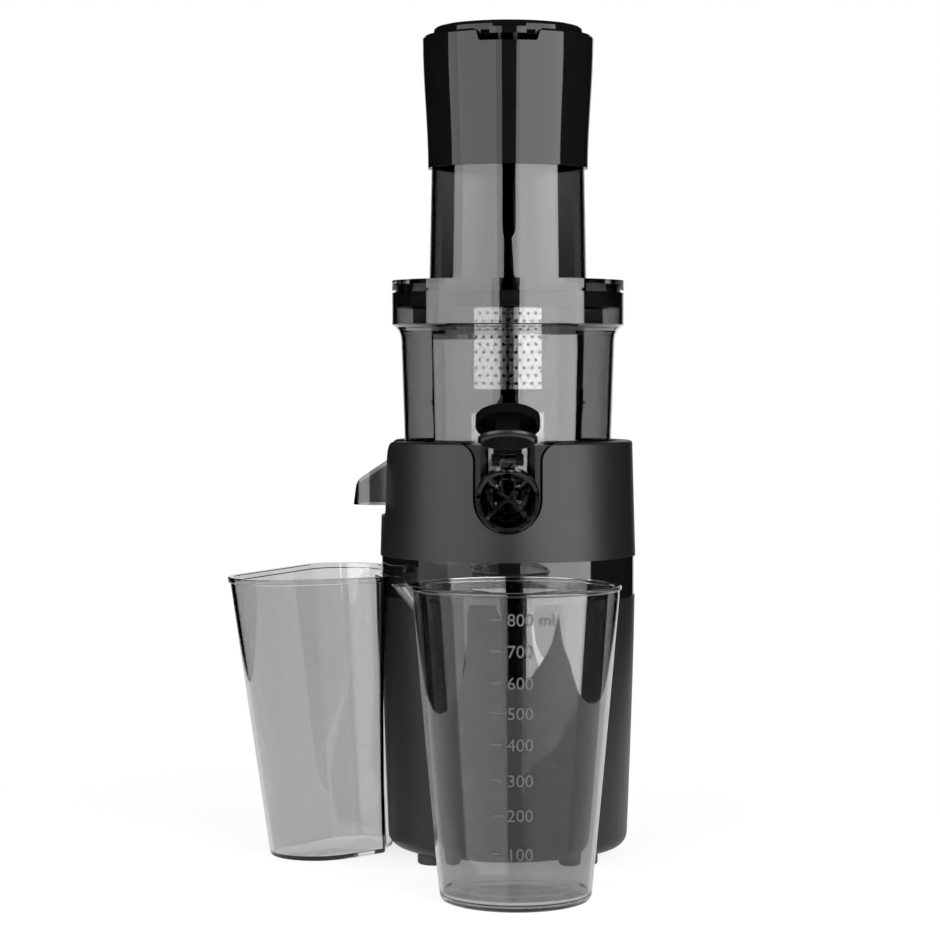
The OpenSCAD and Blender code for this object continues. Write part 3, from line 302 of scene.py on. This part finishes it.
# ---- Housing ----
# The lower housing is one tapering shell of ABS with a fine spark-eroded grain. It stands on
# four rubber feet, and a vented cover is screwed under it through the feet.
def dress(finish, *nodes):
    """Puts a finish on the pieces named."""
    for name in nodes:
        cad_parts[name].material_slots[0].material = finish


def moulded(name, colour, roughness, grain, depth, ior=1.5, metallic=0.0):
    """Plastic, rubber or metal with a grain of a given pitch and depth in metres."""
    made = Finish(bpy.data.materials.new(name))
    place = made.node("TexCoord", output="Object")
    fine = made.node("TexNoise", inputs={"Vector": place, "Scale": 1 / grain, "Detail": 2.0})
    broad = made.node("TexNoise", inputs={"Vector": place, "Scale": 24.0, "Detail": 3.0})
    vary = 0.12
    darker, lighter = ((*[c * (1 + sign * vary) for c in colour[:3]], 1) for sign in (-1, 1))
    body = made.node("BsdfPrincipled", inputs={
        "Base Color": made.mix(broad, darker, lighter),
        "Roughness": roughness * 0.88 + broad * (0.24 * roughness),
        "Metallic": metallic, "IOR": ior,
        "Normal": made.node("Bump", inputs={"Strength": 1.0, "Distance": depth, "Height": fine}),
    })
    return made.surface(body)


black_rubber = moulded("black_rubber", grey(0.012), roughness=0.55, grain=0.0004, depth=0.00001)
case_plastic = moulded("case_plastic", grey(0.28), roughness=0.5, grain=0.0005, depth=0.000006)
turned_steel = moulded(
    "turned_steel", grey(0.55), roughness=0.25, grain=0.0005, depth=0.000002, metallic=1.0
)
soft_grey = moulded(
    "soft_grey", grey(0.007), roughness=0.40, grain=0.00035, depth=0.000006, ior=1.42
)
dress(soft_grey, "base_housing")
dress(black_rubber, "rubber_feet")
dress(case_plastic, "bottom_cover")
dress(turned_steel, "base_screws")


# ---- Band ----
# A polished black ring, moulded in one piece, is clipped between the housing and the collar.
# Its front is left bare.
def polished(name, value, ior=1.5):
    """Polished plastic: mirror-smooth but for a faint long ripple and a little haze."""
    roughness, ripple = 0.035, 0.000006
    made = Finish(bpy.data.materials.new(name))
    place = made.node("TexCoord", output="Object")
    wave = made.node("TexNoise", inputs={"Vector": place, "Scale": 34.0, "Detail": 1.0})
    haze = made.node("TexNoise", inputs={"Vector": place, "Scale": 60.0, "Detail": 4.0})
    body = made.node("BsdfPrincipled", inputs={
        "Base Color": made.mix(haze, grey(value * 0.8), grey(value * 1.2)),
        "Roughness": roughness * 0.7 + haze * (0.6 * roughness), "IOR": ior,
        "Normal": made.node("Bump", inputs={"Strength": 1.0, "Distance": ripple, "Height": wave}),
    })
    return made.surface(body)


dress(polished("band_black", 0.004), "glossy_band")

# ---- Collar ----
# The collar sits on the band and carries the bowl: the same grained plastic as the housing,
# with a soft rounded top edge, a notch for the juice spout and a slot for the pulp hood.
collar_grey = moulded(
    "collar_grey", grey(0.008), roughness=0.40, grain=0.00035, depth=0.000006, ior=1.38
)
dress(collar_grey, "collar")

# ---- Seat ----
# Inside the collar a polished liner narrows towards the spout. The bowl stands on its floor,
# and the shaft comes up through the middle of it.
dress(polished("seat_black", 0.004, ior=1.2), "bowl_seat")

# ---- Drive ----
# The motor hangs under a gearbox of two stages of nylon gears; the shaft runs in two ball
# bearings and a lip seal. A fan turns under the motor, and the board stands behind it.
motor_zinc = moulded(
    "motor_zinc", (0.34, 0.35, 0.37, 1), roughness=0.4, grain=0.001, depth=0.00001, metallic=0.8
)
gear_nylon = moulded(
    "gear_nylon", (0.75, 0.73, 0.67, 1), roughness=0.45, grain=0.0005, depth=0.000004
)
board_green = moulded(
    "board_green", (0.02, 0.12, 0.05, 1), roughness=0.4, grain=0.0006, depth=0.000004
)
dress(motor_zinc, "motor_can")
dress(case_plastic, "gearbox_case", "gearbox_cover", "cooling_fan")
dress(gear_nylon, "idler_gear", "output_gear")
dress(turned_steel, "idler_axle", "shaft_bearings", "drive_shaft", "motor_shaft")
dress(board_green, "control_board")
dress(black_rubber, "shaft_seal")

# ---- Switch and lead inlet ----
# On the back, a polished rocker tilts in the frame that is snapped into the housing, and
# below it the rubber gland of the lead is pushed into its hole.
gloss_black = polished("gloss_black", 0.004, ior=1.38)
dress(gloss_black, "switch_bezel", "rocker_switch")
dress(black_rubber, "cord_gland")


# ---- Bowl ----
# The bowl is moulded in smoky clear copolyester, 2 mm thick, in one piece with the juice
# spout, the hinge lug and the pulp hood. The spout and the hood are painted far darker:
# partly for their thicker walls, mostly as painted shade for the dark inside of them.
def clear(name, tint, roughness=0.004, ior=1.5, thick_and_shaded=None):
    """Smoky clear plastic tinted once per wall, with far darker painted shade where the mask says.
    """
    made = Finish(bpy.data.materials.new(name))
    place = made.node("TexCoord", output="Object")
    haze = made.node("TexNoise", inputs={"Vector": place, "Scale": 45.0, "Detail": 3.0})
    colour = made.mix(haze, grey(tint * 0.98), grey(tint * 1.02))
    # painted shade: where the mask says, the spout and hood take a tint far darker than a wall's
    thick_and_shade_tint = tint * 0.15
    if thick_and_shaded:
        colour = made.mix(thick_and_shaded(made, place), colour, grey(thick_and_shade_tint))
    body = made.node("BsdfPrincipled", inputs={
        "Base Color": colour, "Roughness": roughness * 0.8 + haze * (0.4 * roughness), "IOR": ior,
        "Transmission Weight": 1.0,
    })
    return made.surface(body)


def at_spout_and_hood(made, place):
    """Painted shade: 1 on the spout in front, 0.6 on the hood at left, 0 on the bowl's own wall.
    """
    x, y, z = (made.node("SeparateXYZ", inputs={0: place}, output=axis) for axis in "XYZ")
    spout = (0 - y).rise(0.052, 0.058) * (0 - z).rise(-0.216, -0.208)
    hood = (0 - x).rise(0.064, 0.070)
    return spout.math("MAXIMUM", hood * 0.6)


dress(clear("smoky_clear", 0.42, thick_and_shaded=at_spout_and_hood), "juice_bowl")
dress(turned_steel, "hinge_pin")
dress(black_rubber, "bowl_seal")

# ---- Strainer ----
# A dark smoky frame is moulded round four punched steel screens above and four fine ones
# below. It stands on the bowl's floor, round the auger.
screen_steel = moulded(
    "screen_steel", grey(0.62), roughness=0.2, grain=0.0006, depth=0.000002, metallic=1.0
)
dress(clear("strainer_plastic", 0.25, roughness=0.02), "strainer_frame")
dress(screen_steel, "coarse_screens")

mesh_radius, pitch = 0.040, 0.0013
mesh_finish = Finish(bpy.data.materials.new("fine_mesh"))
place = mesh_finish.node("TexCoord", output="Object")
x, y, z = (mesh_finish.node("SeparateXYZ", inputs={0: place}, output=axis) for axis in "XYZ")
around = y.math("ARCTAN2", x) * (mesh_radius * math.pi / pitch)
upward = z * (math.pi / pitch)
holes = (around.math("SINE") * upward.math("SINE")).math("ABSOLUTE").rise(0.3, 0.6)
relief = {"Strength": 0.1, "Distance": 0.0001, "Height": 1 - holes}
sheet_steel = mesh_finish.node("BsdfPrincipled", inputs={
    "Base Color": mesh_finish.mix(holes, grey(0.8), grey(0.06)),
    "Roughness": 0.22, "Metallic": 1.0,
    "Normal": mesh_finish.node("Bump", inputs=relief),
})
dress(mesh_finish.surface(sheet_steel), "fine_screens")

# ---- Auger ----
# The squeezing screw is moulded in one piece of dark satin plastic. It stands on the hexagon
# of the shaft, and its flights and ribs press the fruit against the screens.
dress(moulded("auger_plastic", grey(0.008), roughness=0.14, grain=0.0005, depth=0.000002), "auger")

# ---- Drip cap ----
# The polished cap hangs on the steel pin in the lug of the spout. Its silicone seal closes
# the end of the spout when the cap is turned down.
seal_silicone = moulded(
    "seal_silicone", grey(0.010), roughness=0.3, grain=0.0006, depth=0.000003
)
dress(gloss_black, "drip_cap")
dress(seal_silicone, "drip_seal")

# ---- Lid and feed tube ----
# The lid and the tube are moulded in a darker smoky clear plastic than the bowl, and welded
# together. A black gasket round the lid's rim seals it in the mouth of the bowl.
dress(clear("smoky_tube", 0.26, ior=1.55), "lid", "feed_tube")
dress(black_rubber, "lid_gasket")

# ---- Hopper ----
# The hopper and its lid are moulded in polished black plastic. The hopper slips over the feed
# tube, and the lid drops in from above, with a tongue in the hopper's notch.
dress(gloss_black, "hopper", "hopper_lid")


# ---- Juice cup ----
# A barrel-shaped measuring cup with a pouring lip, moulded clear with a light smoke. The
# marks for every 100 mL are raised on its front by about a third of a millimetre.
dress(clear("cup_clear", 0.5), "juice_cup")
mark_grey = moulded("cup_marks", grey(0.07), roughness=0.45, grain=0.0005, depth=0.000002)
cup_low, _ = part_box("juice_cup")
cup_x, cup_reach = 0.004, 0.0525
cup_axis = Vector((cup_x, cup_low.y + cup_reach, 0))
cup_foot_radius, cup_rim_radius, cup_body, cup_swell = 0.0376, 0.0513, 0.1508, 0.93
mark_heights = {
    800: 0.1440, 700: 0.1287, 600: 0.1133, 500: 0.0986,
    400: 0.0833, 300: 0.0657, 200: 0.0486, 100: 0.0294,
}
mark_size, mark_left = 0.0062, -0.0044
digit_share = 0.72
dash_middle, dash_length, dash_height = -0.0098, 0.0055, 0.0006
mark_middle, half_mark = 0.0002, 0.00018


def on_cup(bm):
    """Rolls flat marks, drawn on X and Z with Y outwards, onto the front of the cup."""
    for v in bm.verts:
        share = (v.co.z / cup_body) ** cup_swell
        wall = cup_foot_radius + (cup_rim_radius - cup_foot_radius) * share
        turn, out = v.co.x / wall, wall + mark_middle - v.co.y
        v.co = cup_axis + Vector((out * math.sin(turn), -out * math.cos(turn), v.co.z))


for amount, height in mark_heights.items():
    drawing = bpy.data.curves.new(f"mark_{amount}", "FONT")
    drawing.body = f"{amount} ml" if amount == 800 else str(amount)
    drawing.size = mark_size / digit_share
    drawing.extrude = half_mark
    drawing.resolution_u = 3
    written = bpy.data.objects.new(f"drawing_{amount}", drawing)
    bpy.context.scene.collection.objects.link(written)
    bpy.context.view_layer.update()
    depsgraph = bpy.context.evaluated_depsgraph_get()
    flat = bpy.data.meshes.new_from_object(written.evaluated_get(depsgraph))
    bpy.data.objects.remove(written)
    bm = bmesh.new()
    bm.from_mesh(flat)
    bpy.data.meshes.remove(flat)
    upright = Matrix.Rotation(math.pi / 2, 4, "X")
    raised = Matrix.Translation((mark_left, 0, height - mark_size / 2))
    bmesh.ops.transform(bm, matrix=raised @ upright, verts=bm.verts[:])
    dash = bmesh.ops.create_cube(bm, size=1)["verts"]
    bmesh.ops.scale(bm, vec=(dash_length, 2 * half_mark, dash_height), verts=dash)
    bmesh.ops.translate(bm, vec=(dash_middle, 0, height), verts=dash)
    bmesh.ops.remove_doubles(bm, verts=bm.verts[:], dist=0.000001)
    on_cup(bm)
    bmesh.ops.recalc_face_normals(bm, faces=bm.faces[:])
    mark = new_object(f"cup_mark_{amount}", bm, mark_grey)
    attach(mark, "cup")


# ---- Pulp container ----
# A tall clear container with three round corners, hollowed on one side to stand against the
# housing. It widens towards a thick rim, so that it draws out of its mould.
bin_rim, bin_wall, bin_floor, bin_taper = 0.153, 0.002, 0.0026, 20
lip_foot, lip_reach = bin_rim - 0.0033, 0.001
hollow_foot, hollow_rim, hollow_start, hollow_height = 0.0666, 0.0706, 0.0056, 0.1494
tip_radius = 0.0032
weld_gap = 0.00002


def bin_corners(z):
    """Centre and radius in metres of the front, inner and back corner at a height."""
    grow = bin_taper * z / bin_rim
    # in millimetres: where each one stands at the foot, and how far the taper moves it
    return [
        (Vector((-104 - 0.85 * grow, -3.4 - 1.15 * grow)) / 1000, (25 + 0.12 * grow) / 1000),
        (Vector((-68, 2.6 - 1.4 * grow)) / 1000, 0.005),
        (Vector((-84 - 0.4 * grow, 34.6 + 0.95 * grow)) / 1000, (20 + 0.15 * grow) / 1000),
    ]


def side_angle(first, second):
    """Direction that the straight side between two corners faces, going round anticlockwise."""
    (a, ra), (b, rb) = first, second
    along = b - a
    return math.atan2(along.y, along.x) - math.acos((ra - rb) / along.length)


def swept(start, stop):
    """Angle between two directions, going round anticlockwise."""
    return (stop - start) % (2 * math.pi)


def bin_loop(bm, z, inset=0.0):
    """One closed line round the container at a height, drawn corner by corner."""
    widened = max(z - hollow_start, 0) / hollow_height
    hollow = hollow_foot + (hollow_rim - hollow_foot) * widened
    front, inner, back = bin_corners(z)
    faces = [side_angle(front, inner), side_angle(inner, back), side_angle(back, front)]
    # a small round tip wherever a straight side runs into the hollow for the housing
    tips = []
    for face, way in ((faces[0], -1), (faces[1], 1)):
        normal = Vector((math.cos(face), math.sin(face)))
        depth = normal.dot(inner[0]) + inner[1] - tip_radius
        along = math.sqrt((hollow + tip_radius) ** 2 - depth**2)
        tips.append(normal * depth + way * along * Vector((-normal.y, normal.x)))
    angles = [math.atan2(tip.y, tip.x) for tip in tips]
    hollow_sweep = (angles[1] - angles[0] + math.pi) % (2 * math.pi) - math.pi
    into_hollow, out_of_hollow = angles[0] + math.pi, angles[1] + math.pi
    # centre, radius, first direction, swept angle and number of steps of every arc
    arcs = [
        (front[0], front[1] - inset, faces[2], swept(faces[2], faces[0]), 40),
        (tips[0], tip_radius - inset, faces[0], swept(faces[0], into_hollow), 6),
        (Vector((0, 0)), hollow + inset, angles[0], hollow_sweep, 14),
        (tips[1], tip_radius - inset, out_of_hollow, swept(out_of_hollow, faces[1]), 6),
        (back[0], back[1] - inset, faces[1], swept(faces[1], faces[2]), 32),
    ]
    before = set(bm.edges)
    ends = []
    for centre, radius, start, sweep, steps in arcs:
        x, y = centre.x + radius * math.cos(start), centre.y + radius * math.sin(start)
        first = bm.verts.new((x, y, z))
        made = bmesh.ops.spin(
            bm, geom=[first], cent=(*centre, z), axis=(0, 0, 1), angle=sweep, steps=steps
        )
        last = next(g for g in made["geom_last"] if isinstance(g, bmesh.types.BMVert))
        ends.append((first, last))
    for (_, last), (first, _) in zip(ends, ends[1:] + ends[:1]):
        if (last.co - first.co).length > weld_gap:
            bm.edges.new((last, first))
    seam = [v for pair in ends for v in pair]
    bmesh.ops.remove_doubles(bm, verts=seam, dist=weld_gap)
    return [e for e in bm.edges if e not in before]


# height and depth below the outer face, up the outside, over the lip and down to the floor
skin = [
    (0.0, 0.0014), (0.0004, 0.0005), (0.0014, 0.0), (0.04, 0.0), (0.08, 0.0), (0.12, 0.0),
    (lip_foot, 0.0), (lip_foot + 0.0002, -lip_reach + 0.0002), (lip_foot + 0.0004, -lip_reach),
    (bin_rim - 0.0003, -lip_reach), (bin_rim, -lip_reach + 0.0003),
    (bin_rim - 0.0001, bin_wall - 0.0004), (bin_rim - 0.0005, bin_wall),
    (0.12, bin_wall), (0.08, bin_wall), (0.04, bin_wall), (bin_floor + 0.0009, bin_wall),
    (bin_floor + 0.0003, bin_wall + 0.0002), (bin_floor, bin_wall + 0.0008),
]
bm = bmesh.new()
loops = [bin_loop(bm, *step) for step in skin]
for lower, upper in zip(loops, loops[1:]):
    bmesh.ops.bridge_loops(bm, edges=lower + upper)
for end in (loops[0], loops[-1]):
    bmesh.ops.contextual_create(bm, geom=end)
bmesh.ops.recalc_face_normals(bm, faces=bm.faces[:])
for face in bm.faces:
    face.smooth = True
container = new_object("pulp_container_shell", bm, clear("bin_clear", 0.64))
container.data.set_sharp_from_angle(angle=math.radians(28))
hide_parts("pulp_container")
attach(container, "bin")
